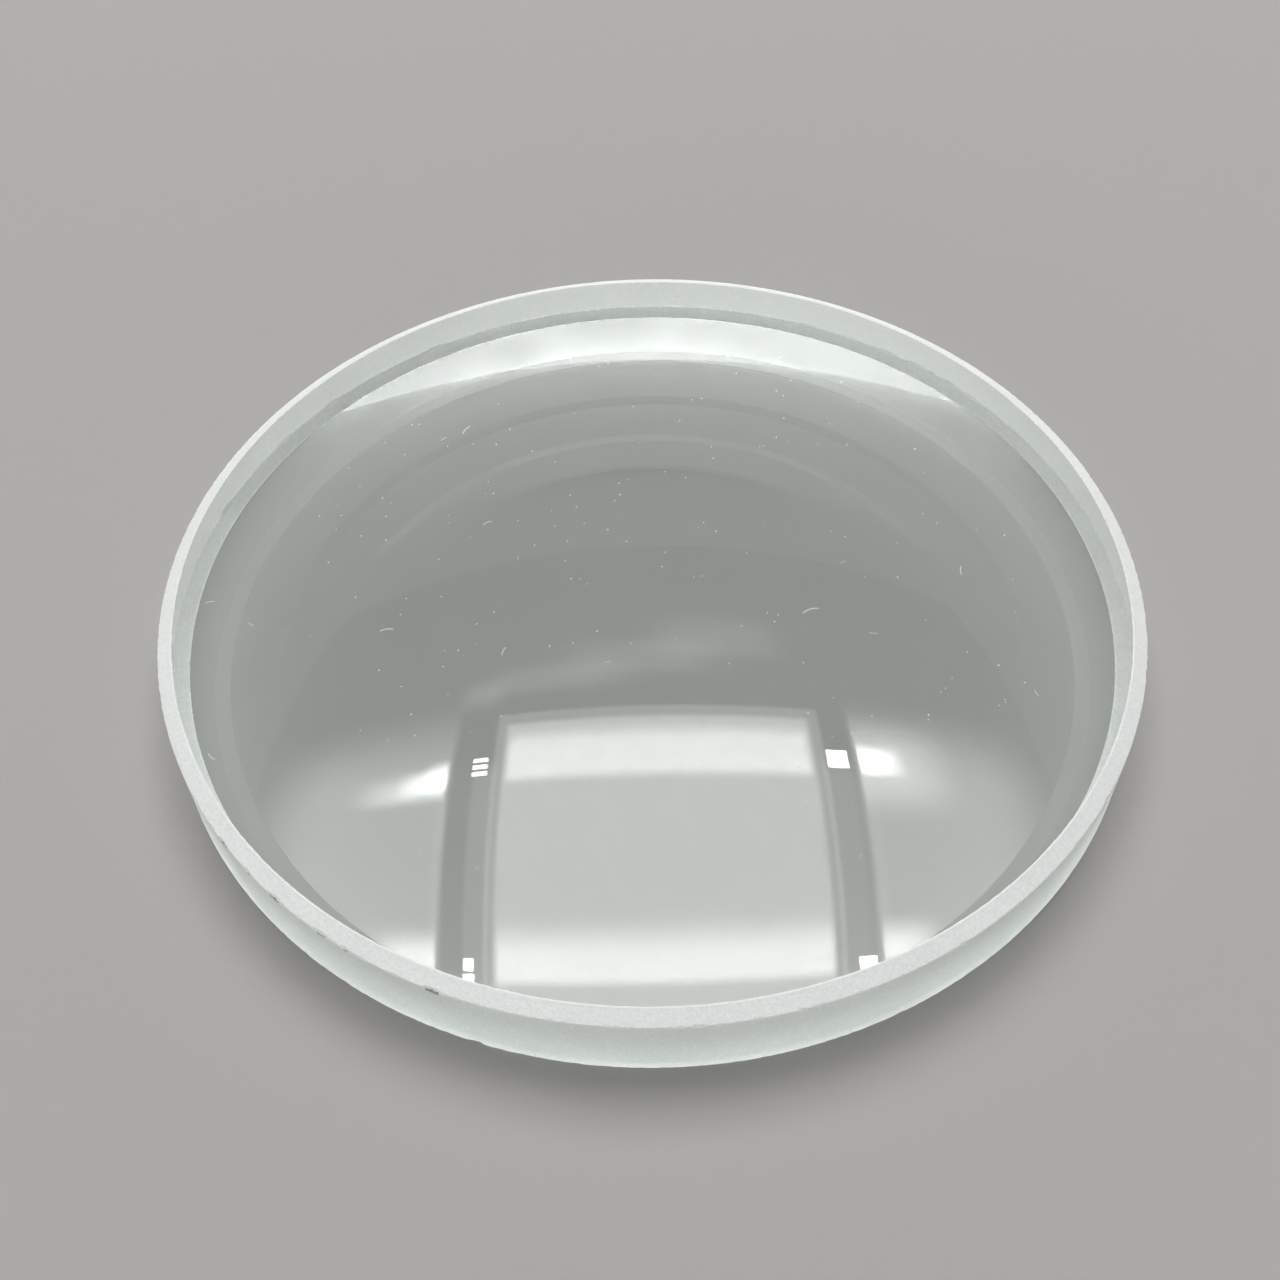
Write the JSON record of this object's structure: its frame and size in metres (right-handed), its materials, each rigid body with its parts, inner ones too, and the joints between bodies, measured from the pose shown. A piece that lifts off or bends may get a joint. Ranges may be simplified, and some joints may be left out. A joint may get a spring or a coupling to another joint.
{
  "type": "biconcave lens",
  "caption": "Round biconcave glass lens with a shallow polished dish on each face, a frosted ground edge and bevelled rims, for spreading light or shrinking an image.",
  "frame": {"origin": "on the optical axis, in the plane that the lower rim rests on", "axes": "+Z along the optical axis, up through the lens; +X and +Y across it"},
  "size_m": [0.1, 0.1, 0.0091],
  "materials": {
    "optical_glass": "clear pale green glass, polished on both dishes, fine ground and matt on the edge and both lands"
  },
  "bodies": {
    "root": {"lens": "optical_glass"}
  },
  "joints": []
}
